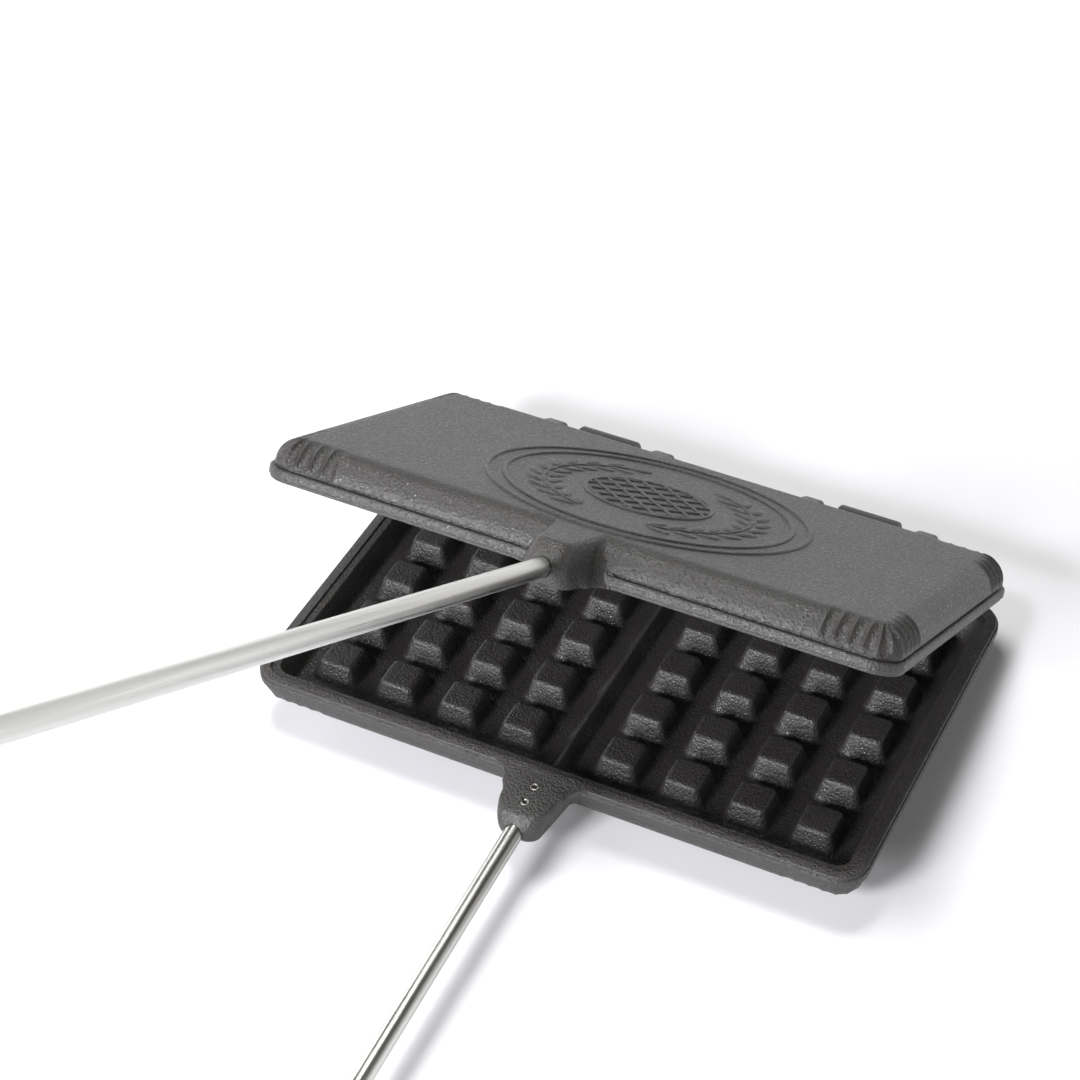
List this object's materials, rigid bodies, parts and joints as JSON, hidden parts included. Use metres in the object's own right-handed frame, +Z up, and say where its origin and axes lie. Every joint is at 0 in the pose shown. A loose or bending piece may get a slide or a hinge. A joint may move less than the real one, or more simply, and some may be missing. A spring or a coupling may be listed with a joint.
{
  "type": "stovetop waffle iron",
  "caption": "Rectangular hinged cast iron waffle plates with square studs, each on a long steel rod with a wooden grip, standing partly open.",
  "frame": {"origin": "bottom centre of the bounding box at rest; z = 0 is the table", "axes": "+X across the plates, +Y from the grips to the hinge, +Z up; the iron lies on the rear edge of its lower plate and on its lower grip, with the lid open"},
  "size_m": [0.216, 0.7116, 0.4356],
  "materials": {
    "cast_iron": "seasoned, fine cast grain",
    "plated_steel": "bright plated, fine lengthwise grain",
    "turned_wood": "turned, clear lacquer"
  },
  "bodies": {
    "lower": {"lower_plate": "cast_iron", "lower_handle_rod": "plated_steel", "lower_socket_pins": "plated_steel", "lower_grip": "turned_wood", "lower_ferrule": "plated_steel", "lower_grip_washer": "plated_steel", "lower_cap_nut": "plated_steel"},
    "upper": {"upper_plate": "cast_iron", "left_hinge_pin": "plated_steel", "right_hinge_pin": "plated_steel", "upper_handle_rod": "plated_steel", "upper_socket_pins": "plated_steel", "upper_grip": "turned_wood", "upper_ferrule": "plated_steel", "upper_grip_washer": "plated_steel", "upper_cap_nut": "plated_steel"}
  },
  "joints": [
    {"name": "lid_hinge", "type": "hinge", "parent": "lower", "child": "upper", "pos_m": [0, 0.3485, 0.01618], "axis": [-1, 0, 0], "range_deg": [-29.5, 75.5]}
  ]
}
